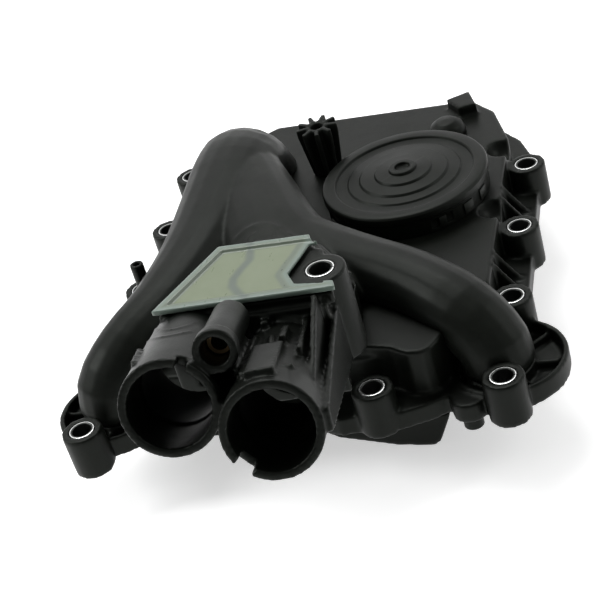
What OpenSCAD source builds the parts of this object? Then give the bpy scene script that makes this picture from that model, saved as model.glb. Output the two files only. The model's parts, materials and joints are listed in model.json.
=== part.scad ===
// Valley cover of a V engine: crankcase breather housing with oil separator,
// pressure regulator, Y-shaped crossover duct and a twin port housing at the front.
// X runs across the engine, Y towards the rear, Z up. Z = 0 is the mounting plane,
// X = 0 is midway between the bolt columns, Y = 0 is the front right screw.

/* [Bolt pattern] */
// Distance between the left and the right bolt column
bolt_dx = 145; // [136:1:160]
// Set-back of the left bank: front left screw in Y
left_y0 = -9; // [-12:1:-6]
// Pitch of the screws down the left side
left_pitch = 41.75; // [38:0.25:46]
// Pitch of the screws down the right side
right_pitch = 44; // [40:1:48]
// X of the screw in the middle of the front edge
front_x = 29; // [24:1:34]
// Outer diameter of the steel sleeves
sleeve_od = 9; // [8:0.5:10]
// Bore of the steel sleeves, for M6 screws
sleeve_id = 6.8; // [6.4:0.1:7]
// Outer diameter of the screw bosses
boss_od = 14.4; // [13:0.2:16]
// Height of the screw bosses
boss_h = 16.5; // [14:0.5:19]
// Radius kept free above each screw for its head and the tool
way_r = 5.4; // [5:0.1:6]

/* [Housing] */
// Height of the deck above the mounting plane
deck_z = 20; // [18:1:24]
// Wall of the upper housing
wall = 2.6; // [2:0.1:3.2]
// Y of the rear edge of the deck
back_y = 184; // [178:1:200]
// Thickness of the rim flange
flange_t = 7; // [6:0.5:9]
// Depth of the pan below the mounting plane
pan_d = 10; // [8:0.5:14]
// Width of the rim seal groove
groove_w = 2.4; // [2:0.1:3]
// How far the rim seal stands proud of the mounting plane
seal_proud = 0.8; // [0.4:0.1:1.2]

/* [Crossover duct] */
// Outer radius of the duct legs
leg_r = 12.5; // [11:0.5:14]
// Wall of the duct
duct_wall = 2.4; // [2:0.1:3]
// Height of the axis of the legs above the mounting plane
leg_z = 28; // [26:0.5:33]
// Half width of the rear hump
hump_w = 18.5; // [16:0.5:20]
// Half height of the rear hump
hump_h = 13.5; // [12:0.5:16]
// Height of the flat pad that carries the twin port housing
pad_z = 43; // [42:0.5:50]

/* [Twin port housing] */
// Bore of the two pipe ports
port_id = 24; // [22:0.5:26]
// Wall of the pipe ports
port_wall = 2.6; // [1.8:0.1:3]
// Depth of the seat for the pipe spigot in each port
port_seat = 18; // [14:1:22]
// Upward tilt of the pipe ports
port_tilt = 17; // [10:1:22]
// Sideways turn of the pipe ports
port_turn = 8; // [4:1:12]
// Length of the left pipe port
left_len = 44; // [40:1:48]
// Length of the right pipe port
right_len = 50; // [46:1:54]
// Height of the top flange
top_z = 76; // [72:1:84]
// Thickness of the top flange
top_t = 4; // [3:0.5:6]

/* [Regulator] */
// X of the regulator axis
reg_x = 29; // [26:0.5:29]
// Y of the regulator axis
reg_y = 113; // [108:1:116]
// Outer radius of the regulator cover
reg_r = 32.2; // [31:0.1:33]
// Travel of the regulator plunger
plunger_travel = 3; // [2:0.1:3]
// Radius of the regulator seat, outside
seat_r = 8; // [7:0.5:9]
// Wire of the regulator spring
spring_wire = 1.1; // [0.8:0.1:1.4]
// Turns of the regulator spring
spring_turns = 5; // [4:1:7]

/* [Separator] */
// Number of cyclones
cyclones = 3; // [2:1:3]
// Pitch of the cyclones
cyclone_pitch = 21; // [20:0.5:24]
// Inner radius of a cyclone at its top
cyclone_r = 7.5; // [6:0.5:8]
// Travel of the drain valve disc
drain_travel = 2.4; // [1.5:0.1:3]
// Travel of the relief valve plate
relief_travel = 3; // [2:0.1:4]

/* [Clearances] */
// Radial clearance of the sliding pieces
slide_gap = 0.35; // [0.3:0.05:0.5]
// Gap between pieces that only sit near each other
near_gap = 0.3; // [0.2:0.05:0.5]

/* [Hidden] */
$fn = 64;
nylon = "#2b2f2e";
steel = "#c8cacb";
seal_green = "#4c6a58";

// bolt columns and the lines that follow them
hx = bolt_dx / 2;
left_screws = [for (i = [0:4]) [-hx, left_y0 + i * left_pitch]];
right_screws = [for (i = [0:3]) [hx, i * right_pitch]];
front_screw = [front_x, 0];
flange_x = hx + 3.5;
wall_x = hx - 7.5;
rear_x = 47;
left_last = left_screws[4][1];
right_last = right_screws[3][1];

// feet of the duct
foot_in = 4.5;
foot_r = leg_r;
foot_bore_r = leg_r - duct_wall;
foot_z = 8;
right_foot = [hx - foot_in, 19];
left_foot = [-hx + foot_in, 14];
right_lobe = [hx - 1.5, 22];
left_lobe = [-hx + 1.5, 14];
right_lobe_r = 20.5;
left_lobe_r = 19.5;
foot_seal_r = foot_bore_r + 1.2;
foot_seal_w = 2.2;
left_tip_y = left_last + 4;
tray_wall = 2;
tray_floor = 3;
rib_t = 1.6;
scoop_r = 6;
rear_peak_line = [[38, 178], [44, 169], [51, 171], [47, back_y - 1]];

// outlines, counter-clockwise from the front left
flange_line = [
    [-flange_x, left_y0], [-68, -2], [-60, 4], [-50, 3.5], [-30, 4], [2, 4], [10, -2], [16, -4],
    [21, -3], [37, -3], [46, 0.3], [54, 5], [58, 5.5], [63, 6], [hx, -3], [flange_x, -1],
    [flange_x, right_last + 12], [hx - 6, back_y - 16], [rear_x + 4, back_y + 3],
    [-40, back_y + 3], [-flange_x + 8, back_y - 12], [-flange_x, left_tip_y]
];
pocket_line = [
    [18, 12], [27, 12], [35.4, 10.1], [38.5, 8], [41.7, 6.2], [46.4, 6], [49.5, 8], [51.6, 11.7],
    [54, 18.9], [56, 34], [18, 40]
];
pocket_z = 24.5;
wall_line = [
    [-48, 11], [48, 11], [49, 36], [wall_x, 49], [wall_x, right_last + 16],
    [hx - 15, back_y - 12], [rear_x, back_y], [-38, back_y], [-wall_x, left_last + 4],
    [-wall_x, left_y0 + left_pitch + 12], [-52, 32]
];
seal_line = inset(wall_line, -0.5);
nipple = [-hx + 6, 64];
nipple_r = 2.6;
nipple_bore_r = 1.4;
nipple_len = 15;
nipple_low = 10;
dowel = [hx - 13.5, 3.2];
dowel_r = 3.4;
dowel_shank_r = dowel_r + 0.4;
dowel_len = 5;

// trough of the pan seen from the front, counter-clockwise
sump_line = [
    [-2, -pan_d + 1], [8, -pan_d - 5.5], [28, -pan_d - 11], [41, -pan_d - 12.5], [43.5, -pan_d - 10.5],
    [49, -pan_d + 1]
];
sump_y0 = 11 + wall;
sump_y1 = 40;
pan_wall = 2;

// stack heights
cavity_top = deck_z - wall;
clamp_z = deck_z + 3.5;
diaphragm_t = 1.5;
plate_z = clamp_z - 1.5;
cover_z = deck_z + 11;
bowl_r = reg_r - 2.4;
ring_w = 5;
ring_r = reg_r - ring_w - 5.2;
hub_r = ring_r - 8;
bowl_floor_z = 6;
bowl_floor_t = 2;
seat_top = plate_z - plunger_travel - near_gap;
hump = [-40, 150];
cover_post_at = [-8, 141];
post_r = 4.5;
hump_hole_r = 12;

// middles of the mouths of the pipe ports and of the screw boss between them
left_mouth = [-4.4, -76.9, 74.9];
right_mouth = [25.4, -84, 70];
screw_face = [10.7, -68.9, 86.9];
// places seen along the ports, from the middle of the left mouth: right, up, outwards
right_from_left = [28.5, -8, 9.3];
boss_from_left = [16.1, 13.2, -2];
left_chamber = [[-19.5, -34], [8, -34], [6, -2.5], [-6, -2.5]];
left_hollow = [[-14.6, -29.3], [6.6, -29.3], [1.4, -20], [4.4, -10], [3, -5], [-4.4, -5]];
left_floor = 46;
right_chamber = [[2, -34], [33, -31.5], [26, -1.5], [2, -2.5]];
right_hollow = [
    [10, -28.8], [20, -27.9], [20, -26.5], [17.8, -21], [17.8, -5], [6.2, -5], [7.6, -10], [4.4, -20]
];
right_floor = 40;
rear_column = [[0, -4], [20, -4], [16, 8], [2, 8]];
passage_in = 9;
seat_step = 0.6;
insert_r = 3.6;
insert_len = 12;
insert_in = 9;
clamp_boss_r = 5.6;
clamp_boss_len = 30;
tower = [29, -16.5];
tower_r = 8;
tower_len = 30;
trapezoid = [[-19, -33], [35.4, -29.9], [26.8, -1.2], [-5.6, -2.2]];
port_seal_line = [[-16.6, -31.1], [21, -29.3], [21.4, -26.4], [19.1, -20.6], [19.1, -3.6], [-5.4, -3.6]];
cover_slot_line = [[24, -5], [22.6, -11], [20, -20], [23.2, -25.8], [40, -27.8], [40, -5]];
port_seal_w = 1.4;
port_seal_t = 0.8;
divider_line = [
    [7.6, -30.3], [9, -30.3], [3.6, -20], [6.7, -10], [5.3, -3.8], [3.9, -3.8], [5.3, -10], [2.2, -20]
];

// line between neighbouring edges, both moved inwards by d
function unit(v) = v / norm(v);
function cross2(a, b) = a[0] * b[1] - a[1] * b[0];
function corner(a, b, c, d) =
    let (u = unit(b - a), w = unit(c - b))
    let (p = b + d * [-u[1], u[0]], q = b + d * [-w[1], w[0]])
    abs(cross2(u, w)) < 0.001 ? p : p + u * cross2(q - p, w) / cross2(u, w);
function inset(pts, d) =
    [for (i = [0:len(pts) - 1])
        corner(pts[(i + len(pts) - 1) % len(pts)], pts[i], pts[(i + 1) % len(pts)], d)];

// a plate of the given outline between two heights
module slab(pts, z0, z1) {
    translate([0, 0, z0])
        linear_extrude(z1 - z0)
            polygon(pts);
}

// a frame that follows an outline, w wide, centred on it
module ring_slab(pts, w, z0, z1) {
    difference() {
        slab(inset(pts, -w / 2), z0, z1);
        slab(inset(pts, w / 2), z0 - 1, z1 + 1);
    }
}

module post(at, r, z0, z1) {
    translate([at[0], at[1], z0])
        cylinder(r = r, h = z1 - z0);
}

module tube(at, ro, ri, z0, z1) {
    difference() {
        post(at, ro, z0, z1);
        post(at, ri, z0 - 1, z1 + 1);
    }
}

// carries its children to a point, with Z turned to the port direction
module along_port(at) {
    translate(at)
        rotate([0, 0, port_turn])
            rotate([90 - port_tilt, 0, 0])
                children();
}

// upright triangular gusset that runs from a boss towards the deck
module gusset(at, dir, len) {
    translate([at[0], at[1], flange_t - 1])
        rotate([90, 0, dir])
            translate([0, 0, -1.2])
                linear_extrude(2.4)
                    polygon([[0, 0], [len, 0], [len, deck_z - flange_t], [boss_od / 2, boss_h - flange_t]]);
}

// swept solid through rings of points, closed at both ends
module skin(rings) {
    n = len(rings[0]);
    m = len(rings);
    polyhedron(
        points = [for (r = rings) for (p = r) p],
        faces = concat(
            [[for (j = [n - 1:-1:0]) j]],
            [[for (j = [0:n - 1]) (m - 1) * n + j]],
            [for (i = [0:m - 2]) for (j = [0:n - 1])
                [i * n + j, i * n + (j + 1) % n, (i + 1) * n + (j + 1) % n, (i + 1) * n + j]]
        )
    );
}

// Catmull-Rom point between p1 and p2
function spline(p0, p1, p2, p3, t) =
    0.5 * (2 * p1 + (p2 - p0) * t + (2 * p0 - 5 * p1 + 4 * p2 - p3) * t * t
        + (3 * p1 - p0 - 3 * p2 + p3) * t * t * t);
function smooth(pts, k) =
    [for (i = [0:len(pts) - 2]) for (s = [0:k - 1])
        spline(pts[max(i - 1, 0)], pts[i], pts[i + 1], pts[min(i + 2, len(pts) - 1)], s / k),
        pts[len(pts) - 1]];
// elliptical ring at row i of a smoothed path of [x, y, z, half width, half height]
function heading(path, i) =
    unit([for (k = [0:2]) path[min(i + 1, len(path) - 1)][k] - path[max(i - 1, 0)][k]]);
function side(path, i, across) = unit(across - heading(path, i) * (across * heading(path, i)));
function oval(path, i, across, thin, n) =
    let (q = path[i], t = heading(path, i), s = side(path, i, across), u = cross(s, t))
    [for (j = [0:n - 1])
        [q[0], q[1], q[2]]
            + s * (q[3] - thin) * cos(360 * j / n)
            + u * (q[4] - thin) * sin(360 * j / n)];
module sweep(pts, across, thin, k = 3, n = 18) {
    path = smooth(pts, k);
    skin([for (i = [0:len(path) - 1]) oval(path, i, across, thin, n)]);
}

// round wire spring
module coil(at, r, wire, turns, z0, z1) {
    sides = 6;
    steps = turns * 14;
    lift = z1 - z0 - 2 * wire;
    skin([for (i = [0:steps])
        let (a = 360 * turns * i / steps, z = z0 + wire + lift * i / steps)
        [for (j = [0:sides - 1])
            [
                at[0] + (r + wire / 2 * cos(360 * j / sides)) * cos(a),
                at[1] + (r + wire / 2 * cos(360 * j / sides)) * sin(a),
                z + wire / 2 * sin(360 * j / sides)
            ]]]);
}

// routes of the duct: foot, bend, leg, saddle
left_route = [
    [left_foot[0], left_foot[1], foot_z - 3, foot_r, foot_r],
    [left_foot[0], left_foot[1], 16, foot_r, foot_r],
    [-60.5, 24, 24.5, leg_r, leg_r],
    [-51, 42, leg_z, leg_r + 1, leg_r],
    [-44, 68, leg_z + 2, leg_r + 3.5, leg_r + 0.5],
    [-41, 95, leg_z + 4, hump_w - 0.5, hump_h],
    [-40, 122, leg_z + 6, hump_w, hump_h],
    [-40, 140, leg_z + 2, hump_w, hump_h],
    [hump[0], hump[1], deck_z - 4, hump_w, hump_h + 1.5]
];
right_route = [
    [right_foot[0], right_foot[1], foot_z - 3, foot_r, foot_r],
    [right_foot[0], right_foot[1], 15, foot_r, foot_r],
    [59, 26.3, 23.4, leg_r + 0.3, leg_r + 0.3],
    [41.1, 40.6, leg_z - 0.8, leg_r, leg_r],
    [17.1, 55.7, leg_z + 0.4, leg_r, leg_r],
    [-7.2, 72.2, leg_z + 1.6, leg_r + 1, leg_r],
    [-28, 90.5, leg_z + 4, leg_r + 2, hump_h - 1.5],
    [-40, 108, leg_z + 4, leg_r, hump_h - 3]
];
pad_line = [[-24, 14], [22, 14], [24, 30], [10, 50], [-14, 56], [-28, 44]];
saddle = [
    [2, 30, leg_z + 2, 22, leg_r - 1.5], [-4, 52, leg_z + 3, 22, leg_r - 1],
    [-15.5, 74, leg_z + 4.5, 19.5, leg_r],
    [-26, 99, leg_z + 5, 17, leg_r],
    [-36, 122, leg_z + 5, 15, leg_r - 0.5]
];
saddle_across = [0.88, 0.47, 0];
neck_line = [[-18, -6], [20, -6], [22, 28], [9, 46], [-13, 51], [-24, 40], [-22, 18]];

// flat lobe around a duct foot: a tray with a rim and radial ribs
module lobe_tray(at, r, foot) {
    intersection() {
        difference() {
            post(at, r, 0, foot_z);
            post(at, r - tray_wall, tray_floor, foot_z + 1);
        }
        post(at, r, -1, foot_z + 1);
    }
    intersection() {
        post(at, r - 0.5, 0, foot_z);
        for (a = [0:45:315])
            translate([foot[0], foot[1], 0])
                rotate([0, 0, a])
                    translate([foot_r - 1, -rib_t / 2, 0])
                        cube([r, rib_t, flange_t - 0.6]);
    }
    post(foot, foot_r, 0, foot_z);
}

// pair of thin fins from the edge of the deck down to the flange on the right
module side_fins(y) {
    for (d = [0, 7])
        translate([wall_x - 1, y + d + rib_t / 2, flange_t - 1])
            rotate([90, 0, 0])
                linear_extrude(rib_t)
                    polygon([
                        [0, 0], [10.5, 0], [8, 3], [1, deck_z - flange_t + 1], [0, deck_z - flange_t + 1]
                    ]);
}

// hollows in the edge of the deck that clear the tool beside a screw, t wider all round
module scoops(t) {
    for (i = [2, 3])
        translate([right_screws[i][0] - 9.5, right_screws[i][1] + 8.5, deck_z])
            sphere(r = scoop_r + t);
}

module upper_housing() {
    color(nylon)
    difference() {
        union() {
            difference() {
                slab(flange_line, 0, flange_t);
                post(left_lobe, left_lobe_r - tray_wall, tray_floor, foot_z);
                post(right_lobe, right_lobe_r - tray_wall, tray_floor, foot_z);
            }
            lobe_tray(left_lobe, left_lobe_r, left_foot);
            lobe_tray(right_lobe, right_lobe_r, right_foot);
            slab(wall_line, 0, deck_z);
            slab(rear_peak_line, deck_z - 1, deck_z + 5);
            front_pocket_shape(0);
            for (p = concat(left_screws, right_screws, [front_screw])) post(p, boss_od / 2, 0, boss_h);
            for (i = [1:3]) gusset(right_screws[i], 180, hx - wall_x + 1);
            for (i = [2:4]) gusset(left_screws[i], 0, hx - wall_x + 1);
            for (i = [1, 2]) side_fins(right_screws[i][1] + 17);
            tube([reg_x, reg_y], bowl_r, bowl_r - wall, deck_z - 1, clamp_z);
            post(nipple, nipple_r + 2.4, 0, deck_z);
            post(nipple, nipple_r, deck_z - 1, deck_z + nipple_len);
            post(dowel, dowel_shank_r + 2.2, 0, flange_t);
        }
        difference() {
            slab(inset(wall_line, wall), -1, cavity_top);
            scoops(wall);
        }
        scoops(0);
        front_pocket_shape(wall);
        ring_slab(seal_line, groove_w, -1, 2.2);
        post([reg_x, reg_y], bowl_r - wall, cavity_top - 1, deck_z + 1);
        post(hump, hump_hole_r, cavity_top - 1, deck_z + 1);
        post(nipple, nipple_bore_r, nipple_low, deck_z + nipple_len + 1);
        translate([nipple[0], nipple[1], nipple_low + nipple_bore_r])
            rotate([0, 90, 0])
                cylinder(r = nipple_bore_r, h = 8);
        post(dowel, dowel_shank_r, -1, flange_t - 2);
        for (p = concat(left_screws, right_screws, [front_screw])) post(p, sleeve_od / 2, -1, boss_h + 1);
        for (p = [left_foot, right_foot]) {
            post(p, foot_bore_r, -1, foot_z + 1);
            tube(p, foot_seal_r + foot_seal_w, foot_seal_r, -1, 1.8);
        }
    }
    // bowl of the regulator, hung from the deck, with its gas inlets
    color(nylon)
    difference() {
        post([reg_x, reg_y], bowl_r, bowl_floor_z, cavity_top);
        post([reg_x, reg_y], bowl_r - wall, bowl_floor_z + bowl_floor_t, cavity_top + 1);
        post([reg_x, reg_y], seat_r - 2, bowl_floor_z - 1, bowl_floor_z + bowl_floor_t + 1);
        for (a = [200:35:340])
            translate([reg_x, reg_y, bowl_floor_z + 5.5])
                rotate([90, 0, a + 90])
                    cylinder(r = 2.5, h = bowl_r + 5);
    }
}

// raised pocket behind the front edge, shrunk by t for its inside
module front_pocket_shape(t) {
    difference() {
        slab(inset(pocket_line, t), t, pocket_z - t);
        post(front_screw, way_r + t, 0, pocket_z);
    }
}

// space for the screws and their bosses, t wider all round
module screw_ways(t) {
    for (p = concat(left_screws, right_screws)) {
        post(p, boss_od / 2 + near_gap + t, 0, boss_h + near_gap + t);
        post(p, way_r + t, 0, top_z);
    }
    post([reg_x, reg_y], reg_r + near_gap + t, deck_z, cover_z + 2.6 + t);
}

module crossover_duct() {
    color(nylon)
    resize([0, 0, 0])
    difference() {
        union() {
            sweep(left_route, [0.9, -0.44, 0], 0);
            sweep(right_route, [0.5, 0.87, 0], 0);
            slab(pad_line, deck_z, pad_z);
            sweep(saddle, saddle_across, 0);
        }
        difference() {
            union() {
                sweep(left_route, [0.9, -0.44, 0], duct_wall);
                sweep(right_route, [0.5, 0.87, 0], duct_wall);
                slab(inset(pad_line, duct_wall), deck_z - 1, pad_z - duct_wall);
                sweep(saddle, saddle_across, duct_wall);
            }
            screw_ways(duct_wall);
        }
        screw_ways(0);
        slab(wall_line, 0, deck_z);
        slab(neck_line, pad_z, top_z);
        front_pocket_shape(0);
        slab(inset(flange_line, -40), -20, foot_z);
    }
}

// one pipe port, its mouth at the given point
module port_pipe(mouth, len) {
    along_port(mouth)
        translate([0, 0, -len])
            cylinder(r = port_id / 2 + port_wall, h = len);
}

// straight web between two places seen along the ports
module port_web(a, b, z0, z1) {
    along_port(left_mouth)
        translate([a[0], a[1], z0])
            rotate([0, 0, atan2(b[1] - a[1], b[0] - a[0])])
                translate([0, -rib_t / 2, 0])
                    cube([norm([b[0] - a[0], b[1] - a[1]]), rib_t, z1 - z0]);
}

// upright plate beside the right port, from points of height above its axis and reach
module side_plate(x, t, pts) {
    along_port(right_mouth)
        translate([x, 0, 0])
            rotate([0, -90, 180])
                linear_extrude(t)
                    polygon([for (p = pts) [p[1], -p[0]]]);
}

// hollow of a port: the seat for the pipe, its bore, and the way on into the chamber behind it
module port_hollow(mouth, len, line, floor_z) {
    ahead = [for (p = line) p[1] < -26 ? [p[0], p[1] - passage_in] : p];
    along_port(mouth) {
        translate([0, 0, -port_seat])
            cylinder(r = port_id / 2, h = port_seat + 1);
        translate([0, 0, -len])
            cylinder(r = port_id / 2 - seat_step, h = len);
    }
    intersection() {
        along_port(mouth)
            translate([0, 0, -len - passage_in])
                cylinder(r = port_id / 2 - seat_step, h = passage_in + 5);
        slab(ahead, floor_z, top_z);
    }
    slab(line, floor_z + port_wall, top_z + 1);
}

module twin_port_housing() {
    color(nylon)
    difference() {
        union() {
            port_pipe(left_mouth, left_len);
            port_pipe(right_mouth, right_len);
            slab(left_chamber, left_floor, top_z - top_t + 1);
            slab(right_chamber, right_floor, top_z - top_t + 1);
            slab(neck_line, pad_z, pad_z + 4);
            slab(rear_column, pad_z + 1, left_floor + 20);
            slab(trapezoid, top_z - top_t, top_z);
            post(tower, tower_r, top_z - tower_len, top_z);
            port_web([0, 0], boss_from_left, -clamp_boss_len + 2, -3);
            port_web(boss_from_left, right_from_left, -clamp_boss_len + 2, -4);
            port_web([0, 0], right_from_left, -left_len + 4, -2);
            side_plate(11, 1.8, [[22, -46], [4, -1], [-2, -1], [-4, -50], [16, -50]]);
            side_plate(14.5, 1.8, [[19, -66], [14, -56], [3, -2], [-4, -2], [-6, -66]]);
            side_plate(11, 5, [[6, -66], [-1, -3], [-4, -3], [-6, -66]]);
            along_port(right_mouth)
                translate([-5, port_id / 2, -26])
                    cube([9, 4.5, 22]);
            along_port(screw_face) {
                translate([0, 0, -clamp_boss_len])
                    cylinder(r = clamp_boss_r, h = clamp_boss_len);
                translate([0, 0, -5])
                    cylinder(r = clamp_boss_r + 0.9, h = 5);
            }
        }
        port_hollow(left_mouth, left_len, left_hollow, left_floor);
        port_hollow(right_mouth, right_len, right_hollow, right_floor);
        post(tower, sleeve_od / 2, top_z - tower_len - 1, top_z + 1);
        along_port(screw_face) {
            translate([0, 0, -insert_in - insert_len])
                cylinder(r = insert_r, h = insert_in + insert_len);
            translate([0, 0, -insert_in])
                cylinder(r = insert_r + 0.5, h = insert_in + 1);
        }
        along_port(right_mouth)
            rotate([0, 0, -137])
                translate([port_id / 2 - 2, -2.7, -6.5])
                    cube([6, 5.4, 8]);
        along_port(left_mouth)
            rotate([0, 0, 62])
                translate([port_id / 2 - 2, -1.5, -4])
                    cube([5, 3, 5]);
        post(front_screw, way_r, right_floor - 1, top_z + 1);
    }
}

module port_gasket() {
    color(seal_green)
    union() {
        ring_slab(port_seal_line, port_seal_w, top_z, top_z + port_seal_t);
        slab(divider_line, top_z, top_z + port_seal_t);
    }
}

module flange_cover() {
    color("#9db5a5", 0.8)
    difference() {
        slab(inset(trapezoid, -0.8), top_z + port_seal_t, top_z + 2.6);
        slab(inset(trapezoid, 2), top_z + 1.8, top_z + 3);
        post(tower, tower_r - 0.5, top_z, top_z + 4);
        slab(cover_slot_line, top_z, top_z + 4);
        post(front_screw, way_r, top_z, top_z + 4);
    }
}

module sleeve(at, z0, z1) {
    color(steel)
    difference() {
        post(at, sleeve_od / 2, z0, z1);
        post(at, sleeve_id / 2, z0 - 1, z1 + 1);
        translate([at[0], at[1] - 0.2, z0 - 1])
            cube([sleeve_od, 0.4, z1 - z0 + 2]);
    }
}

module left_boss_sleeves() {
    for (p = left_screws) sleeve(p, 0, boss_h);
}

module right_boss_sleeves() {
    for (p = right_screws) sleeve(p, 0, boss_h);
}

module front_boss_sleeve() {
    sleeve(front_screw, 0, boss_h);
}

module tower_sleeve() {
    sleeve(tower, top_z - tower_len, top_z);
}

module screw_insert() {
    color("#b58b45")
    along_port(screw_face)
        difference() {
            translate([0, 0, -insert_in - insert_len])
                cylinder(r = insert_r, h = insert_len);
            translate([0, 0, -insert_in - insert_len - 1])
                cylinder(r = 2.5, h = insert_len + 2);
        }
}

module rim_gasket() {
    color(seal_green)
    ring_slab(seal_line, groove_w - 0.6, -seal_proud, 2.2);
}

module foot_seal(at) {
    color(seal_green)
    tube(at, foot_seal_r + foot_seal_w - 0.3, foot_seal_r + 0.3, -seal_proud, 1.8);
}

module left_foot_seal() {
    foot_seal(left_foot);
}

module right_foot_seal() {
    foot_seal(right_foot);
}

// deep trough across the front of the pan, t smaller all round
module sump(t) {
    translate([0, sump_y1 - t, 0])
        rotate([90, 0, 0])
            linear_extrude(sump_y1 - sump_y0 - 2 * t)
                polygon([for (p = inset(sump_line, t)) [p[0], p[1] > -pan_d - 3 ? p[1] + 2 * t : p[1]]]);
}

module lower_pan() {
    color(nylon)
    difference() {
        union() {
            slab(inset(wall_line, wall), -pan_d, 3);
            sump(0);
        }
        slab(inset(wall_line, wall + 2.2), -pan_d + 2, 4);
        sump(pan_wall);
        for (x = [14, 28, 42])
            for (y = [52, 76])
                translate([x - 3, y - 8, -pan_d - 1])
                    cube([6, 16, 4]);
        post(drain_at, 7.5, -pan_d - 1, -pan_d + 3);
    }
}

module regulator_cover() {
    color(nylon)
    translate([reg_x, reg_y, 0])
        difference() {
            rotate_extrude()
                polygon([
                    [0, cover_z + 1.2], [4, cover_z + 1.2], [4, cover_z + 2.6], [5, cover_z + 2.6],
                    [5, cover_z + 1.2], [hub_r - 1, cover_z + 1], [hub_r, cover_z + 0.2],
                    [ring_r - 1, cover_z], [ring_r, cover_z - 0.8],
                    [ring_r + ring_w, cover_z - 0.8], [ring_r + ring_w + 1, cover_z],
                    [reg_r - 1, cover_z],
                    [reg_r, cover_z - 1.2], [reg_r, deck_z + near_gap],
                    [bowl_r + near_gap, deck_z + near_gap],
                    [bowl_r + near_gap, clamp_z + diaphragm_t], [bowl_r - wall, clamp_z + diaphragm_t],
                    [bowl_r - wall, cover_z - 3], [0, cover_z - 1.2]
                ]);
            for (a = [-70, 20, 110, 200])
                rotate([0, 0, a])
                    translate([bowl_r + near_gap + 0.4, -5, deck_z + 3])
                        cube([6, 10, 3.5]);
        }
}

module vent_hood() {
    color(nylon)
    translate([reg_x + 11, reg_y + reg_r + 12, deck_z])
        rotate_extrude()
            polygon([
                [0, 7], [4, 6.4], [6.5, 4.6], [7.5, 2], [7.5, 0], [5.5, 0], [5.5, 2.5], [3, 4.4], [0, 5]
            ]);
}

module cover_post() {
    color("#1b1e1d")
    translate([cover_post_at[0], cover_post_at[1], deck_z])
        difference() {
            union() {
                cylinder(r = post_r, h = 20.5);
                for (a = [0:40:320])
                    rotate([90, 0, a])
                        translate([0, 0, -0.8])
                            linear_extrude(1.6)
                                polygon([
                                    [post_r - 1, 0], [6, 0], [8.4, 18], [8.4, 21], [post_r - 1, 21]
                                ]);
            }
            translate([0, 0, 8])
                cylinder(r = 2.5, h = 14);
        }
}

module dowel_pin() {
    color(nylon)
    union() {
        post(dowel, dowel_r, -dowel_len, 1);
        post(dowel, dowel_shank_r, 0, flange_t - 2);
    }
}

module regulator_diaphragm() {
    color("#202322")
    translate([reg_x, reg_y, clamp_z])
        rotate_extrude()
            polygon([
                [4.2, 0], [14, 0], [15, -0.8], [17.5, -1.6], [20, -0.8], [21, 0], [bowl_r, 0], [bowl_r, 1.5],
                [bowl_r - wall, 1.5], [bowl_r - wall, 0.8], [20.5, 0.8], [19, -0.1], [17.5, -0.7],
                [16, -0.1], [14.5, 0.8], [4.2, 0.8]
            ]);
}

module regulator_plunger() {
    color("#e4e2da")
    union() {
        post([reg_x, reg_y], 13, plate_z, clamp_z);
        post([reg_x, reg_y], 3.9, clamp_z, clamp_z + 2.4);
    }
}

module plunger_cap() {
    color("#e4e2da")
    tube([reg_x, reg_y], 9.5, 3.9, clamp_z + 0.8, clamp_z + 2.2);
}

module regulator_spring() {
    color(steel)
    coil([reg_x, reg_y], seat_r + 2.2, spring_wire, spring_turns, bowl_floor_z + bowl_floor_t, plate_z);
}

module regulator_seat() {
    color("#d9d6cc")
    tube([reg_x, reg_y], seat_r, seat_r - 2, bowl_floor_z + bowl_floor_t, seat_top);
}

// centre line of the channel from the regulator seat to the hump
channel_dir = atan2(hump[1] - reg_y, hump[0] - reg_x);
channel_len = norm([hump[0] - reg_x, hump[1] - reg_y]);

module channel_plan(w) {
    translate([reg_x, reg_y, 0])
        rotate([0, 0, channel_dir])
            union() {
                translate([0, -w, 0])
                    square([channel_len, 2 * w]);
                circle(r = w);
                translate([channel_len, 0, 0])
                    circle(r = w);
            }
}

module suction_channel() {
    color(nylon)
    difference() {
        union() {
            translate([0, 0, -5])
                linear_extrude(bowl_floor_z + 5)
                    channel_plan(hump_hole_r + 2);
            post(hump, hump_hole_r + 3, -5, cavity_top);
        }
        translate([0, 0, -3])
            linear_extrude(bowl_floor_z + 1)
                channel_plan(hump_hole_r);
        post([reg_x, reg_y], seat_r - 2, 0, bowl_floor_z + 1);
        post(hump, hump_hole_r - 0.5, 0, cavity_top + 1);
    }
}

// row of cyclones under the deck, in front of the channel
function cyclone_at(i) = [-46 + i * cyclone_pitch, separator_y];
separator_y = 66;
separator_line = [[-57, -12], [17, -12], [17, 12], [-57, 12]];
block_z = 2;
lid_z = block_z + 8 + relief_travel;

module cyclone_block() {
    color("#3c4240")
    difference() {
        union() {
            translate([0, separator_y, 0])
                slab(separator_line, block_z, block_z + 2);
            for (i = [0:cyclones - 1])
                translate([cyclone_at(i)[0], cyclone_at(i)[1], 0])
                    rotate_extrude()
                        polygon([[0, -6.5], [4, -6.5], [cyclone_r + 1.6, block_z], [0, block_z]]);
        }
        for (i = [0:cyclones - 1])
            translate([cyclone_at(i)[0], cyclone_at(i)[1], 0])
                rotate_extrude()
                    polygon([
                        [0, -8], [2.4, -8], [2.4, -6.5], [cyclone_r, block_z], [cyclone_r, block_z + 3],
                        [0, block_z + 3]
                    ]);
        post(relief_at, 4.5, block_z - 1, block_z + 3);
    }
}

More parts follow.
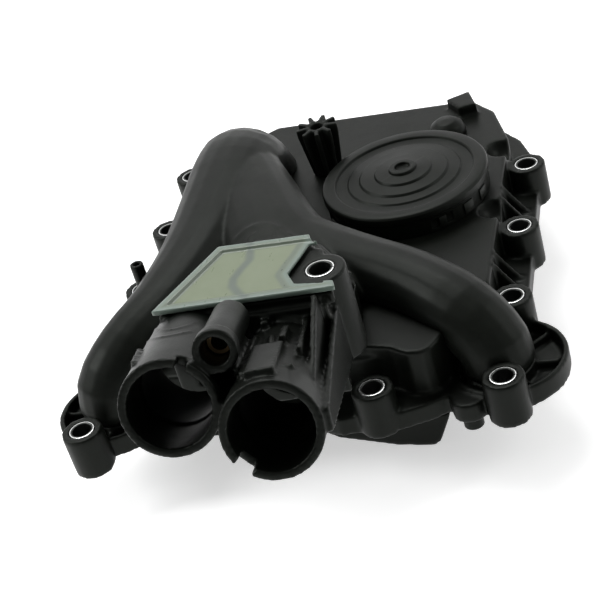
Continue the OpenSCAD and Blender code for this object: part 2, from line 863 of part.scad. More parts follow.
module cyclone_lid() {
    color("#3c4240")
    difference() {
        union() {
            translate([0, separator_y, 0])
                slab(separator_line, lid_z, lid_z + 2);
            for (y = [-12, 10])
                translate([-57, separator_y + y, block_z + 2])
                    cube([74, 2, lid_z - block_z - 2]);
            for (x = [-54, 14]) for (y = [-9, 9]) post([x, separator_y + y], 2, lid_z + 1, cavity_top);
            for (i = [0:cyclones - 1]) post(cyclone_at(i), 4, block_z + 1, lid_z + 1);
        }
        for (i = [0:cyclones - 1]) post(cyclone_at(i), 3, block_z, lid_z + 3);
    }
}

module baffle_plate() {
    color("#3c4240")
    difference() {
        union() {
            slab([[4, 46], [46, 46], [46, 90], [4, 90]], -4, -2.5);
            for (x = [7, 43]) for (y = [49, 87]) post([x, y], 1.8, -pan_d + 2, -3);
        }
        for (x = [13:8:37]) for (y = [53:10:83]) post([x, y], 1.8, -5, -2);
    }
}

// drain check valve in the floor of the pan
drain_at = [-46, 120];
relief_at = [9, 66];

module drain_valve_cage() {
    color("#d9d6cc")
    difference() {
        post(drain_at, 7.5, -pan_d, -pan_d + 6.5 + drain_travel);
        post(drain_at, 6, -pan_d + 1.2, -pan_d + 2.6 + drain_travel + near_gap);
        post(drain_at, 4, -pan_d + 3, -pan_d + 7.5 + drain_travel);
        for (a = [0:90:270]) post(drain_at + 3.4 * [cos(a), sin(a)], 1.3, -pan_d - 1, -pan_d + 2);
    }
}

module drain_valve_disc() {
    color("#202322")
    post(drain_at, 6 - slide_gap, -pan_d + 1.2, -pan_d + 2.6);
}

module relief_valve_plate() {
    color("#d9d6cc")
    union() {
        post(relief_at, 6.2, block_z + 2, block_z + 3.2);
        post(relief_at, 2.2, block_z + 3, block_z + 5);
    }
}

module relief_spring() {
    color(steel)
    coil(relief_at, 3.6, 0.7, 4, block_z + 3.2, lid_z);
}

upper_housing();
crossover_duct();
twin_port_housing();
port_gasket();
flange_cover();
left_boss_sleeves();
right_boss_sleeves();
front_boss_sleeve();
tower_sleeve();
screw_insert();
rim_gasket();
left_foot_seal();
right_foot_seal();
lower_pan();
regulator_cover();
vent_hood();
cover_post();
dowel_pin();
regulator_diaphragm();
regulator_plunger();
plunger_cap();
regulator_spring();
regulator_seat();
suction_channel();
cyclone_block();
cyclone_lid();
baffle_plate();
drain_valve_cage();
drain_valve_disc();
relief_valve_plate();
relief_spring();
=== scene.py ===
"""Looks of the valley cover: moulded nylon housings, duct and ports, steel sleeves, seals and the pale port cover.

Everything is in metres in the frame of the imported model: X across the engine, Y to the rear, Z up,
Z = 0 on the mounting plane. MM turns the drawing's millimetres into metres.
"""

import json
import math

import bmesh
import bpy
from mathutils import Matrix, Vector
from mathutils.bvhtree import BVHTree


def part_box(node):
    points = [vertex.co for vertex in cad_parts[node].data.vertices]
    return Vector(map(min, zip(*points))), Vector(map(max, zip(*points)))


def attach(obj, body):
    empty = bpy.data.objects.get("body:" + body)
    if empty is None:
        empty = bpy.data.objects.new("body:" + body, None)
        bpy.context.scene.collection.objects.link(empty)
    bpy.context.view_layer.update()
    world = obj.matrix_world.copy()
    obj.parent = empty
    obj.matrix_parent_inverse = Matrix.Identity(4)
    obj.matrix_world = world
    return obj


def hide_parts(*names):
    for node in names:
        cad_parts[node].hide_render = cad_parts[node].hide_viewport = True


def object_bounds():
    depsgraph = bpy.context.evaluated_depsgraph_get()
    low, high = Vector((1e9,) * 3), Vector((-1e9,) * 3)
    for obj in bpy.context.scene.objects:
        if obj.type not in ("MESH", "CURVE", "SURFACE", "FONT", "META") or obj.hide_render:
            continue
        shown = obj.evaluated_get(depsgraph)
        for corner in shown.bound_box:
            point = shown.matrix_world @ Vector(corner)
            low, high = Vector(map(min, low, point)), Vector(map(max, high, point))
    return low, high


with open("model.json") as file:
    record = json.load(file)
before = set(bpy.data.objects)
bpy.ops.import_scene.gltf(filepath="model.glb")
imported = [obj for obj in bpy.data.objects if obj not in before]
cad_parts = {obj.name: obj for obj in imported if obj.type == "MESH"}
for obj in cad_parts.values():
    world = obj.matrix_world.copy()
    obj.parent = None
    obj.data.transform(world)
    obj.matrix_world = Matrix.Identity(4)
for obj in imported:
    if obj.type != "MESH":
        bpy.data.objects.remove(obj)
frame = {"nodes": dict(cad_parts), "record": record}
cad_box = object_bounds()

MM = 0.001
TURN = 2 * math.pi
NODES = frame["nodes"]
RECORD = frame["record"]
BODY_OF = {n: b for b, names in RECORD["behaviour"]["bodies"].items() for n in names}
SLOT_OF = {s["node"]: s["material_slot"] for s in RECORD["subparts"]}
MOUNTS = {m["name"]: m for m in RECORD["mounts"]}


# ---------------------------------------------------------------- materials

class Value:
    """One socket of a material. Sums and products of values add the Math nodes they need."""

    def __init__(self, paint, socket):
        self.paint = paint
        self.socket = socket

    def _math(self, operation, first, second):
        return self.paint.node("ShaderNodeMath", {"operation": operation}, {0: first, 1: second})

    def __add__(self, other):
        return self._math("ADD", self, other)

    def __radd__(self, other):
        return self._math("ADD", other, self)

    def __sub__(self, other):
        return self._math("SUBTRACT", self, other)

    def __rsub__(self, other):
        return self._math("SUBTRACT", other, self)

    def __mul__(self, other):
        return self._math("MULTIPLY", self, other)

    def __rmul__(self, other):
        return self._math("MULTIPLY", other, self)

    def __truediv__(self, other):
        return self._math("DIVIDE", self, other)

    def __pow__(self, other):
        return self._math("POWER", self, other)


class Paint:
    """A procedural material around one Principled shader."""

    def __init__(self, name, **constants):
        self.material = bpy.data.materials.new(name)
        self.material.use_nodes = True
        self.tree = self.material.node_tree
        self.shader = self.tree.nodes["Principled BSDF"]
        self.place = self.node("ShaderNodeTexCoord", out="Object")
        for key, value in constants.items():
            self.shader.inputs[key.replace("_", " ")].default_value = value

    def node(self, kind, settings=None, inputs=None, out=0):
        made = self.tree.nodes.new(kind)
        for key, value in (settings or {}).items():
            if key == "stops":
                for stop, (at, colour) in zip(self._stops(made, len(value)), value):
                    stop.position = at
                    stop.color = colour
            else:
                setattr(made, key, value)
        for key, value in (inputs or {}).items():
            if isinstance(value, Value):
                self.tree.links.new(value.socket, made.inputs[key])
            else:
                made.inputs[key].default_value = value
        return Value(self, made.outputs[out])

    def _stops(self, made, count):
        stops = made.color_ramp.elements
        while len(stops) < count:
            stops.new(0.5)
        return list(stops)

    def noise(self, size, detail=2.0, rough=0.5, stretch=(1, 1, 1)):
        """Noise from 0 to 1 whose features are about size across."""
        where = self.place
        if tuple(stretch) != (1, 1, 1):
            where = self.node("ShaderNodeMapping", {}, {"Vector": where, "Scale": stretch})
        return self.node(
            "ShaderNodeTexNoise", {}, {"Vector": where, "Scale": 1 / size, "Detail": detail, "Roughness": rough}
        )

    def step(self, value, low, high):
        """0 below low and 1 above high, smooth between them."""
        return self.node(
            "ShaderNodeMapRange", {"interpolation_type": "SMOOTHSTEP"},
            {"Value": value, "From Min": low, "From Max": high},
        )

    def edges(self, low=0.52, high=0.62):
        """1 on the sharp outer edges of a dense mesh."""
        return self.step(self.node("ShaderNodeNewGeometry", out="Pointiness"), low, high)

    def mix(self, share, first, second):
        """A colour between two colours."""
        return self.node(
            "ShaderNodeMix", {"data_type": "RGBA"}, {0: share, 6: first, 7: second}, out=2
        )

    def feed(self, **sockets):
        for key, value in sockets.items():
            self.tree.links.new(value.socket, self.shader.inputs[key.replace("_", " ")])

    def bumps(self, *layers):
        """Bump layers of (height value, strength, depth in metres), each on top of the last."""
        normal = None
        for height, strength, depth in layers:
            inputs = {"Height": height, "Strength": strength, "Distance": depth}
            if normal is not None:
                inputs["Normal"] = normal
            normal = self.node("ShaderNodeBump", {}, inputs)
        self.feed(Normal=normal)


def rgb(red, green, blue):
    return (red, green, blue, 1.0)


def moulded_nylon(name, dark, light, roughness, grain_depth, spec=0.15):
    """Black glass-filled nylon: fine spark-eroded grain, faint flow marks and paler rubbed edges."""
    p = Paint(name, Specular_IOR_Level=spec, Specular_Tint=rgb(0.93, 1.0, 0.92))
    flow = p.noise(30 * MM, 4, 0.55)
    fibre = p.noise(1.4 * MM, 2, 0.6, (1, 0.35, 1))
    grain = p.noise(0.45 * MM, 2, 0.6)
    smudge = p.step(p.noise(11 * MM, 5, 0.62), 0.42, 0.66)
    tone = p.mix(p.step(flow * 0.7 + fibre * 0.3, 0.35, 0.65), dark, light)
    rubbed = p.edges() * (0.25 + p.noise(2.5 * MM, 3, 0.6) * 0.35)
    p.feed(
        Base_Color=p.mix(rubbed, tone, rgb(0.016, 0.018, 0.015)),
        Roughness=roughness + (flow - 0.5) * 0.16 + (grain - 0.5) * 0.12 + smudge * 0.05 - rubbed * 0.12,
    )
    p.bumps((p.noise(7 * MM, 2, 0.5), 0.18, 0.25 * MM), (grain, 0.35, grain_depth))
    return p.material


def zinc_steel(name):
    """Plated steel: dull grey faces with fine drawn lines, and a painted highlight: the rims get a near-white metal
    colour where the edge attribute is set.
    """
    p = Paint(name, Metallic=1.0)
    edge = p.node("ShaderNodeAttribute", {"attribute_name": "edge"}, out="Fac")
    lines = p.noise(0.5 * MM, 3, 0.6, (1, 1, 0.08))
    spots = p.step(p.noise(1.6 * MM, 4, 0.6), 0.5, 0.7)
    dull = p.mix(spots * 0.5, rgb(0.06, 0.063, 0.06), rgb(0.04, 0.042, 0.04))
    p.feed(
        # painted highlight: where edge is set the rim gets a near-white metal colour instead of the dull grey
        Base_Color=p.mix(edge, dull, rgb(0.9, 0.91, 0.9)),
        Roughness=0.36 + lines * 0.16 + spots * 0.1 - edge * 0.18,
    )
    p.bumps((lines, 0.2, 0.03 * MM))
    return p.material


def turned_brass(name):
    p = Paint(name, Metallic=1.0)
    lines = p.noise(0.4 * MM, 3, 0.6, (0.1, 1, 1))
    p.feed(
        Base_Color=p.mix(p.noise(1.5 * MM, 3), rgb(0.2, 0.14, 0.07), rgb(0.13, 0.09, 0.05)),
        Roughness=0.22 + lines * 0.2,
    )
    p.bumps((lines, 0.3, 0.03 * MM))
    return p.material


def moulded_rubber(name, dark, light):
    """Matt elastomer with a fine satin grain and a slight bloom."""
    p = Paint(name, Specular_IOR_Level=0.35)
    bloom = p.step(p.noise(6 * MM, 4, 0.6), 0.4, 0.7)
    grain = p.noise(0.3 * MM, 2)
    p.feed(Base_Color=p.mix(bloom, dark, light), Roughness=0.62 + (grain - 0.5) * 0.2 + bloom * 0.08)
    p.bumps((grain, 0.3, 0.04 * MM))
    return p.material


def acetal(name):
    p = Paint(name, Specular_IOR_Level=0.45)
    cloud = p.noise(5 * MM, 3)
    p.feed(
        Base_Color=p.mix(cloud, rgb(0.82, 0.81, 0.76), rgb(0.7, 0.68, 0.62)),
        Roughness=0.38 + (p.noise(0.6 * MM, 2) - 0.5) * 0.15,
    )
    p.bumps((p.noise(0.8 * MM, 2), 0.15, 0.04 * MM))
    return p.material


def pale_film(name):
    """Milky green film: the seal under it shows as a darker line, and its edge glows paler."""
    p = Paint(name, Specular_IOR_Level=0.55, Coat_Roughness=0.12)
    seal = p.node("ShaderNodeAttribute", {"attribute_name": "seal"}, out="Fac")
    rim = p.node("ShaderNodeAttribute", {"attribute_name": "rim"}, out="Fac")
    cloud = p.noise(14 * MM, 4, 0.6)
    streak = p.noise(2.2 * MM, 3, 0.55, (1, 0.3, 1))
    patches = p.step(cloud * 0.94 + streak * 0.06, 0.35, 0.7)
    warm = p.mix(patches, rgb(0.157, 0.192, 0.112), rgb(0.175, 0.21, 0.13))
    framed = p.mix(rim, warm, rgb(0.15, 0.196, 0.165))
    p.feed(
        Base_Color=p.mix(seal * 0.85, framed, rgb(0.088, 0.113, 0.098)),
        Roughness=0.24 + streak * 0.1,
    )
    p.bumps((cloud, 0.1, 0.2 * MM), (streak, 0.04, 0.02 * MM))
    return p.material


FINISH = {
    "nylon": moulded_nylon("grained black nylon", rgb(0.0016, 0.0021, 0.0015), rgb(0.0036, 0.0043, 0.0032), 0.4, 0.05 * MM),
    "duct": moulded_nylon("satin black nylon", rgb(0.002, 0.0026, 0.0019), rgb(0.0045, 0.0054, 0.0041), 0.43, 0.07 * MM),
    "nylon_light": moulded_nylon("dark grey nylon", rgb(0.0045, 0.0052, 0.0045), rgb(0.009, 0.0102, 0.009), 0.46, 0.05 * MM),
    "steel": zinc_steel("zinc plated steel"),
    "brass": turned_brass("dulled brass"),
    "seal": moulded_rubber("green seal rubber", rgb(0.022, 0.06, 0.043), rgb(0.04, 0.09, 0.066)),
    "rubber": moulded_rubber("black rubber", rgb(0.01, 0.01, 0.01), rgb(0.022, 0.022, 0.021)),
    "cover": pale_film("milky green film"),
    "acetal": acetal("natural acetal"),
}


# ---------------------------------------------------------------- mesh tools

def new_piece(name, mesh):
    piece = bpy.data.objects.new(name, mesh)
    bpy.context.scene.collection.objects.link(piece)
    return piece


def mesh_of(name, points, faces):
    mesh = bpy.data.meshes.new(name)
    mesh.from_pydata([tuple(p) for p in points], [], faces)
    mesh.validate()
    return mesh


def lathe(name, profile, at, steps=96):
    """A solid turned about an upright axis through at, from (radius, height) points in mm."""
    points = []
    faces = []
    for i in range(steps):
        a = TURN * i / steps
        for r, z in profile:
            points.append((at[0] + r * MM * math.cos(a), at[1] + r * MM * math.sin(a), at[2] + z * MM))
    n = len(profile)
    for i in range(steps):
        for j in range(n - 1):
            a, b = i * n + j, ((i + 1) % steps) * n + j
            faces.append((a, b, b + 1, a + 1))
    mesh = mesh_of(name, points, faces)
    weld(mesh)
    return mesh


def weld(mesh, gap=0.01 * MM):
    bm = bmesh.new()
    bm.from_mesh(mesh)
    bmesh.ops.remove_doubles(bm, verts=bm.verts, dist=gap)
    bmesh.ops.holes_fill(bm, edges=[e for e in bm.edges if e.is_boundary])
    bmesh.ops.recalc_face_normals(bm, faces=bm.faces)
    bm.to_mesh(mesh)
    bm.free()


def prism(name, outline, low, high, inset=0.0, at=(0, 0, 0)):
    """A plate of the given outline (mm) between two heights, its top drawn in by inset."""
    count = len(outline)
    mid = Vector((sum(p[0] for p in outline) / count, sum(p[1] for p in outline) / count))
    points = []
    for z, shrink in ((low, 0.0), (high, inset)):
        for p in outline:
            v = Vector(p)
            v = v - (v - mid).normalized() * shrink
            points.append((at[0] + v.x * MM, at[1] + v.y * MM, at[2] + z * MM))
    faces = [tuple(range(count))[::-1], tuple(range(count, 2 * count))]
    faces += [(i, (i + 1) % count, count + (i + 1) % count, count + i) for i in range(count)]
    mesh = mesh_of(name, points, faces)
    weld(mesh)
    return mesh


def bar(name, start, end, wide, high, up=(0, 0, 1)):
    """A straight rib from start to end (mm), wide across and high along up."""
    a, b = Vector(start), Vector(end)
    along = (b - a).normalized()
    side = along.cross(Vector(up)).normalized()
    top = side.cross(along).normalized()
    points = []
    for p in (a, b):
        for s, t in ((-1, -1), (1, -1), (1, 1), (-1, 1)):
            points.append((p + side * (s * wide / 2) + top * (t * high / 2)) * MM)
    faces = [(0, 3, 2, 1), (4, 5, 6, 7)] + [(i, (i + 1) % 4, 4 + (i + 1) % 4, 4 + i) for i in range(4)]
    mesh = mesh_of(name, points, faces)
    weld(mesh)
    return mesh


def pipe(name, path, radius, steps=20, closed=False):
    """A round bar along a path of points in mm."""
    path = [Vector(p) for p in path]
    count = len(path)
    points = []
    faces = []
    for i, p in enumerate(path):
        before = path[(i - 1) % count] if closed or i else p
        after = path[(i + 1) % count] if closed or i < count - 1 else p
        along = (after - before).normalized()
        side = along.cross(Vector((0, 0, 1)))
        side = side.normalized() if side.length > 0.05 else Vector((1, 0, 0))
        top = side.cross(along)
        for k in range(steps):
            a = TURN * k / steps
            points.append((p + side * (radius * math.cos(a)) + top * (radius * math.sin(a))) * MM)
    for i in range(count if closed else count - 1):
        for k in range(steps):
            a, b = i * steps + k, i * steps + (k + 1) % steps
            c, d = ((i + 1) % count) * steps + k, ((i + 1) % count) * steps + (k + 1) % steps
            faces.append((a, b, d, c))
    if not closed:
        faces.append(tuple(range(steps))[::-1])
        faces.append(tuple(range((count - 1) * steps, count * steps)))
    mesh = mesh_of(name, points, faces)
    weld(mesh)
    return mesh


def cad_copy(node):
    return NODES[node].data.copy()


def joined(name, meshes):
    bm = bmesh.new()
    for mesh in meshes:
        bm.from_mesh(mesh)
    out = bpy.data.meshes.new(name)
    bm.to_mesh(out)
    bm.free()
    return out


def apply_all(piece):
    """Bakes a piece's modifiers into its mesh."""
    graph = bpy.context.evaluated_depsgraph_get()
    made = bpy.data.meshes.new_from_object(piece.evaluated_get(graph))
    piece.modifiers.clear()
    piece.data = made


def cut(piece, meshes, solver="EXACT"):
    """Takes the given solids out of a piece."""
    tool = new_piece("cutter", joined("cutter", meshes))
    step = piece.modifiers.new("cut", "BOOLEAN")
    step.operation = "DIFFERENCE"
    step.solver = solver
    step.object = tool
    apply_all(piece)
    bpy.data.objects.remove(tool)


def melt(piece, voxel, passes, keep=0.5):
    """Fuses what overlaps into one skin and rounds it, as a mould's radii do."""
    step = piece.modifiers.new("fuse", "REMESH")
    step.mode = "VOXEL"
    step.voxel_size = voxel
    step = piece.modifiers.new("round", "SMOOTH")
    step.factor = 0.5
    step.iterations = passes
    if keep < 1:
        step = piece.modifiers.new("thin", "DECIMATE")
        step.ratio = keep
    apply_all(piece)


def dress(piece, finish, body, replaced=()):
    """Gives a piece its material and body, and hides the CAD nodes it stands for."""
    piece.data.materials.clear()
    piece.data.materials.append(FINISH[finish])
    for face in piece.data.polygons:
        face.use_smooth = True
        face.material_index = 0
    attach(piece, body)
    if replaced:
        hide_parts(*replaced)
    return piece


def fused(name, node, finish, voxel, passes, extras=(), cuts=(), keep=0.5):
    """A moulding that follows its CAD solid, with extra detail fused on and cut out."""
    piece = new_piece(name, joined(name, [cad_copy(node), *extras]))
    melt(piece, voxel, passes, keep)
    if cuts:
        cut(piece, cuts)
    return dress(piece, finish, BODY_OF[node], [node])


def soft_edges(piece, width, segments=2):
    step = piece.modifiers.new("edge", "BEVEL")
    step.width = width
    step.segments = segments
    step.limit_method = "ANGLE"
    step.angle_limit = math.radians(35)


# ---------------------------------------------------------------- where things are

def centre(node):
    low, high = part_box(node)
    return (low + high) / 2


MOUTH_AHEAD = 10
VOXEL = 0.75 * MM


# ---------------------------------------------------------------- mouldings

def housing():
    return fused("housing_moulding", "upper_housing", "nylon", VOXEL, 4)


def duct():
    """The Y duct with the oval weld bead around the pad and a gate mark behind it."""
    ring = [(-31, 43), (-31, 54), (-28, 61), (-21, 65), (-14, 66), (-8, 63), (-5, 59), (6, 51), (21, 37),
            (25, 28), (26, 16), (26, 8)]
    skin = BVHTree.FromPolygons(
        [v.co for v in NODES["crossover_duct"].data.vertices],
        [tuple(p.vertices) for p in NODES["crossover_duct"].data.polygons],
    )

    def on_top(x, y, lift):
        hit = skin.ray_cast(Vector((x, y, 100)) * MM, Vector((0, 0, -1)))[0]
        return (x, y, (hit.z / MM if hit else 40) + lift)

    bead = []
    for a, b in zip(ring, ring[1:]):
        for k in range(4):
            bead.append(on_top(a[0] + (b[0] - a[0]) * k / 4, a[1] + (b[1] - a[1]) * k / 4, 0.1))
    mark = [on_top(-14 + 5.5 * math.cos(TURN * k / 24), 58 + 3.6 * math.sin(TURN * k / 24), 0) for k in range(24)]
    extras = [pipe("bead", smoothed(bead), 0.7, 10), pipe("mark", smoothed(mark), 0.6, 10, closed=True)]
    return fused("duct_moulding", "crossover_duct", "duct", VOXEL, 12, extras)


def smoothed(points):
    """The same path with its corners and jumps in height evened out."""
    for _ in range(3):
        points = [points[0]] + [
            tuple((a + 2 * b + c) / 4 for a, b, c in zip(*near)) for near in zip(points, points[1:], points[2:])
        ] + [points[-1]]
    return points


def along(mount, x, y, z):
    """A place (mm) seen along a port: right, up and outwards from the mouth of the named port."""
    outwards = Vector(MOUNTS[mount]["axis"])
    mouth = Vector(MOUNTS[mount]["pos_m"]) / MM + outwards * MOUTH_AHEAD
    right = Vector((0, 0, 1)).cross(-outwards).normalized() * -1
    up = outwards.cross(right)
    return mouth + right * x + up * y + outwards * z


def ports():
    """The twin ports with the latch, pegs and ridges on top of the right one and the marks on the left one."""
    def rib(mount, start, end, wide, high):
        a, b = along(mount, *start), along(mount, *end)
        return bar("rib", a, b, wide, high, along(mount, 0, 1, 0) - along(mount, 0, 0, 0))

    extras = [
        rib("right_port", (-4.4, 14.2, -58), (-4.4, 14.2, -46), 2.4, 5),
        rib("right_port", (-1, 13.5, -36), (2.5, 13.5, -5), 1.6, 4.4),
        rib("right_port", (3.2, 14.6, -39), (3.2, 14.6, -29), 2.2, 4.4),
        rib("right_port", (-1, 15, -50), (9, 12.5, -48), 1.8, 3.4),
        rib("right_port", (8, 12.5, -48), (8.6, 12.5, -22), 1.6, 5),
        rib("right_port", (-6.2, 13.4, -40), (-6.2, 13.4, -8), 1.4, 3.6),
        rib("right_port", (-8.5, 12, -12), (8, 12.6, -12), 1.4, 2.6),
        rib("left_port", (-9, 11.8, -8), (-9.5, 11.8, -20), 1.2, 2.4),
    ]
    arcs = []
    for base, reach, high in ((-27, 6.5, 14.5), (-36, 10, 14.5)):
        arcs.append([
            along("left_port", high * math.sin(a), high * math.cos(a), base + reach * math.cos(a * 3))
            for a in (math.radians(-42 + 4 * k) for k in range(17))
        ])
    extras += [pipe("arc", arc, 0.5, 10) for arc in arcs]
    return fused("port_moulding", "twin_port_housing", "nylon", VOXEL * 0.8, 2, extras)


def regulator_cap():
    """The round cover: crisp stepped rings, a drawn-in skirt with snap windows and small clip tabs."""
    low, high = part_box("regulator_cover")
    axis = centre("regulator_cover")
    at = (axis.x, axis.y, 0)
    top = high.z / MM
    foot = low.z / MM
    r = (high.x - low.x) / 2 / MM
    profile = [
        (0, top - 1.6), (2.6, top - 1.6), (2.9, top - 1.3), (2.9, top - 0.5), (3.2, top - 0.3), (5, top - 0.3),
        (5.3, top - 0.6), (5.5, top - 1.4), (10.7, top - 1.5), (11.1, top - 1.9), (11.3, top - 2.4),
        (16.8, top - 2.5), (17.2, top - 2.9), (17.5, top - 3.4), (21.6, top - 3.5), (22, top - 3.9),
        (22.3, top - 4.2), (26.6, top - 4.2), (26.9, top - 3.5), (27.3, top - 3.2), (31.1, top - 3.2),
        (31.8, top - 3.5), (r, top - 4.2), (r, top - 6.4), (r - 0.7, top - 7), (r - 0.7, foot),
        (29.8, foot), (29.8, top - 6), (0, top - 6),
    ]
    piece = new_piece("regulator_cap", lathe("cap", profile, at, 180))
    windows = []
    for a in (-58, 32, 122, 212):
        t = math.radians(a)
        out = Vector((math.cos(t), math.sin(t), 0))
        mid = Vector((at[0], at[1], 0)) / MM + out * (r - 1.6) + Vector((0, 0, foot + 3.4))
        windows.append(bar("window", mid, mid + out * 4, 9, 3.8))
    cut(piece, windows)
    tabs = []
    for a in (-58, -36, -18, 32, 160):
        t = math.radians(a)
        out = Vector((math.cos(t), math.sin(t), 0))
        base = Vector((at[0], at[1], 0)) / MM + out * (r - 0.9)
        wide = 3 if a in (-58, 32) else 5
        tabs.append(bar("tab", base + Vector((0, 0, foot + 1)), base + Vector((0, 0, foot + 5.2)), wide, 1.2, out))
    piece.data = joined("regulator_cap", [piece.data, *tabs])
    soft_edges(piece, 0.22 * MM)
    apply_all(piece)
    dress(piece, "nylon", BODY_OF["regulator_cover"], ["regulator_cover"])
    flat_shading(piece, 28)


def flat_shading(piece, degrees):
    """Keeps edges sharper than the angle crisp."""
    limit = math.radians(degrees)
    bm = bmesh.new()
    bm.from_mesh(piece.data)
    for edge in bm.edges:
        if len(edge.link_faces) != 2 or edge.calc_face_angle(0) > limit:
            edge.smooth = False
    bm.to_mesh(piece.data)
    bm.free()


def small_mouldings():
    fused("vent_cap", "vent_hood", "nylon", VOXEL * 0.6, 3)
    fused("fluted_post", "cover_post", "nylon_light", VOXEL * 0.6, 2)
    fused("pan_moulding", "lower_pan", "nylon", VOXEL * 1.2, 2)


def sleeves(node, places, height, outer, inner):
    """Rolled steel sleeves with rounded rims carrying a painted highlight, and a seam down one side."""
    parts = []
    for x, y, z in places:
        profile = [
            (inner, 0), (outer - 0.15, 0), (outer, 0.15), (outer, height - 0.3), (outer - 0.12, height - 0.06),
            (outer - 0.32, height), (outer - 0.5, height - 0.04), (inner + 0.34, height - 0.04),
            (inner + 0.22, height - 0.04), (inner + 0.04, height - 0.2), (inner, height - 0.5), (inner, 0),
        ]
        parts.append(lathe("sleeve", profile, (x * MM, y * MM, z * MM), 72))
    piece = new_piece(node + "_turned", joined(node, parts))
    slits = [
        bar("slit", (x + inner - 0.5, y, z - 1 + height / 2), (x + outer + 0.5, y, z - 1 + height / 2), 0.3, height + 4)
        for x, y, z in places
    ]
    cut(piece, slits)
    # edge marks the ring on each top rim that zinc_steel paints near-white as a highlight
    edge = piece.data.attributes.new("edge", "FLOAT", "POINT")
    tops = [Vector(p) * MM for p in places]
    for i, v in enumerate(piece.data.vertices):
        near = min(tops, key=lambda p: (Vector((v.co.x, v.co.y)) - Vector((p.x, p.y))).length)
        reach = (Vector((v.co.x, v.co.y)) - Vector((near.x, near.y))).length / MM
        on_top = v.co.z > near.z + (height - 0.35) * MM
        rim = outer - 0.34 < reach < outer - 0.05
        edge.data[i].value = 1.0 if on_top and rim else 0.0
    dress(piece, "steel", BODY_OF[node], [node])
    flat_shading(piece, 40)


def screw_places(names):
    """Screw axes (mm) of the named mounts: the two ends of a pattern, or the one bore."""
    found = []
    for name in names:
        m = MOUNTS[name]
        x, y = (c / MM for c in m["pos_m"][:2])
        half = m["dims"].get("spacing_y_mm", 0) / 2
        found += [(x, y - half, 0), (x, y + half, 0)] if half else [(x, y, 0)]
    return found


def all_sleeves():
    outer = (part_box("front_boss_sleeve")[1].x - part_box("front_boss_sleeve")[0].x) / 2 / MM
    inner = MOUNTS["front_screw"]["dims"]["r_mm"]
    low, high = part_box("front_boss_sleeve")
    tall = (high.z - low.z) / MM
    left = screw_places(["left_screws", "left_inner_screws", "left_middle_screw"])
    right = screw_places(["right_screws", "right_inner_screws"])
    sleeves("left_boss_sleeves", left, tall, outer, inner)
    sleeves("right_boss_sleeves", right, tall, outer, inner)
    sleeves("front_boss_sleeve", screw_places(["front_screw"]), tall, outer, inner)
    low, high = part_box("tower_sleeve")
    x, y, _ = screw_places(["tower_screw"])[0]
    sleeves("tower_sleeve", [(x, y, low.z / MM)], (high.z - low.z) / MM, outer, inner)


def port_film():
    """The pale film on the port flange, with attributes for its dark seams and its bright rim."""
    piece = new_piece("port_film", cad_copy("flange_cover"))
    step = piece.modifiers.new("fuse", "REMESH")
    step.mode = "VOXEL"
    step.voxel_size = 0.35 * MM
    step = piece.modifiers.new("round", "SMOOTH")
    step.iterations = 6
    apply_all(piece)
    mesh = piece.data
    source = NODES["flange_cover"].data
    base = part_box("flange_cover")[0].z
    outer = [
        tuple(p.vertices) for p in source.polygons
        if abs(p.normal.z) < 0.3 and min(source.vertices[v].co.z for v in p.vertices) < base + 0.3 * MM
    ]
    edge = BVHTree.FromPolygons([v.co for v in source.vertices], outer)
    seam = [(4.4, -1), (5, -4.2), (6, -10.1), (4.2, -14.9), (2.8, -19.9), (3.3, -23.7), (6.1, -27.8), (8.9, -30.9)]
    seam = [Vector(p) * MM for p in seam]
    seal = mesh.attributes.new("seal", "FLOAT", "POINT")
    rim = mesh.attributes.new("rim", "FLOAT", "POINT")
    for i, v in enumerate(mesh.vertices):
        inwards = edge.find_nearest(Vector((v.co.x, v.co.y, base + 0.5 * MM)))[3] / MM
        here = Vector((v.co.x, v.co.y))
        off = min(from_line(here, a, b) for a, b in zip(seam, seam[1:])) / MM
        frame_line = max(0.0, min(1.0, 1.5 - abs(inwards - 2.9) / 0.9)) * 0.8
        seal.data[i].value = max(frame_line, max(0.0, min(1.0, 1.5 - off / 1.3)))
        rim.data[i].value = max(0.0, min(1.0, (2.7 - inwards) / 1.5))
    return dress(piece, "cover", BODY_OF["flange_cover"], ["flange_cover"])


def from_line(here, a, b):
    """Distance in plan from a point to a stretch of line."""
    t = max(0.0, min(1.0, (here - a).dot(b - a) / (b - a).length_squared))
    return (here - (a + (b - a) * t)).length


housing()
duct()
ports()
regulator_cap()
small_mouldings()
all_sleeves()
port_film()

for name, node in NODES.items():
    if not node.hide_render:
        soft_edges(node, 0.18 * MM)
        node.data.materials.clear()
        node.data.materials.append(FINISH[SLOT_OF[name]])


# ---------------------------------------------------------------- floor, light and camera

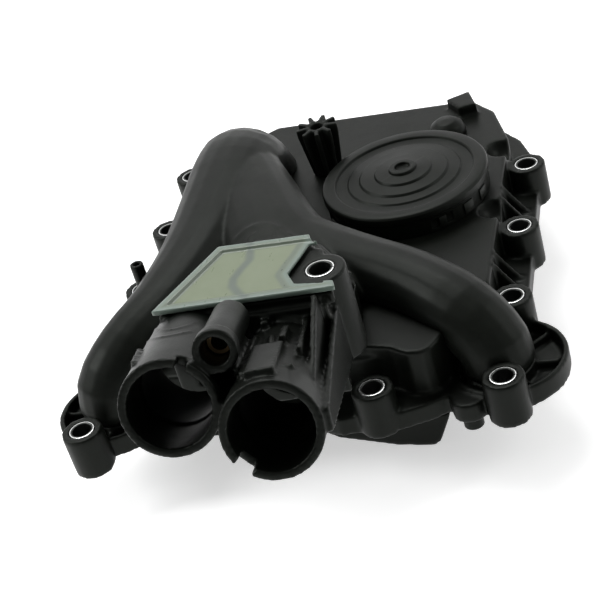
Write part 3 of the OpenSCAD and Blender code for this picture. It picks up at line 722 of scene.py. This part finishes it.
def floor():
    """A pale sweep that curves up far behind the part."""
    low, high = cad_box
    z = low[2] - 0.2 * MM
    rows = [(-3.0, z), (1.0, z)]
    for i in range(1, 13):
        a = math.pi / 2 * i / 12
        rows.append((1.0 + 0.8 * math.sin(a), z + 0.8 * (1 - math.cos(a))))
    rows.append((1.8, z + 3.0))
    points = [(x, y, h) for y, h in rows for x in (-3.5, 3.5)]
    faces = [(2 * i, 2 * i + 1, 2 * i + 3, 2 * i + 2) for i in range(len(rows) - 1)]
    piece = new_piece("floor", mesh_of("floor", points, faces))
    p = Paint("matt white paper", Specular_IOR_Level=0.1)
    cloud = p.noise(0.4, 2)
    p.shader.inputs["Emission Strength"].default_value = 0.55
    paper = p.mix(cloud, rgb(0.9, 0.9, 0.9), rgb(0.94, 0.94, 0.94))
    p.feed(Base_Color=paper, Emission_Color=paper, Roughness=0.85 + cloud * 0.05)
    piece.data.materials.append(p.material)
    for face in piece.data.polygons:
        face.use_smooth = True


def soft_light(name, at, aim, size, power, colour=(1, 1, 1)):
    data = bpy.data.lights.new(name, "AREA")
    data.shape = "RECTANGLE"
    data.size, data.size_y = size
    data.energy = power
    data.color = colour
    lamp = bpy.data.objects.new(name, data)
    bpy.context.scene.collection.objects.link(lamp)
    lamp.location = at
    lamp.rotation_euler = (Vector(aim) - Vector(at)).to_track_quat("-Z", "Y").to_euler()
    return lamp


def lights():
    soft_light("top", (-0.25, 0.55, 1.1), (0, 0.08, 0), (0.8, 0.5), 7)
    soft_light("left", (-0.9, -0.1, 0.7), (0, 0.08, 0), (0.5, 0.5), 6.5)
    soft_light("right", (0.9, 0.2, 0.6), (0, 0.08, 0.02), (0.4, 0.5), 2.5)
    world = bpy.data.worlds.new("studio")
    world.use_nodes = True
    world.node_tree.nodes["Background"].inputs["Color"].default_value = (1, 1, 1, 1)
    world.node_tree.nodes["Background"].inputs["Strength"].default_value = 0.28
    bpy.context.scene.world = world
    bpy.context.scene.view_settings.view_transform = "Standard"


def camera():
    """A long lens a little right of the front, looking down, and rolled."""
    place = Vector((154.35, -391.54, 320.67)) * MM
    turn, tilt, roll = (math.radians(a) for a in (19.701, 32.664, -17.159))
    right = Vector((math.cos(turn), math.sin(turn), 0))
    look = Vector((-math.sin(turn) * math.cos(tilt), math.cos(turn) * math.cos(tilt), -math.sin(tilt)))
    up = right.cross(look)
    across = right * math.cos(roll) + up * math.sin(roll)
    above = up * math.cos(roll) - right * math.sin(roll)
    data = bpy.data.cameras.new("camera")
    data.sensor_width = 36
    data.lens = 93.18
    data.clip_start = 0.01
    eye = bpy.data.objects.new("camera", data)
    bpy.context.scene.collection.objects.link(eye)
    turned = Matrix((across, above, -look)).transposed().to_4x4()
    eye.matrix_world = Matrix.Translation(place) @ turned
    bpy.context.scene.camera = eye


floor()
lights()
camera()
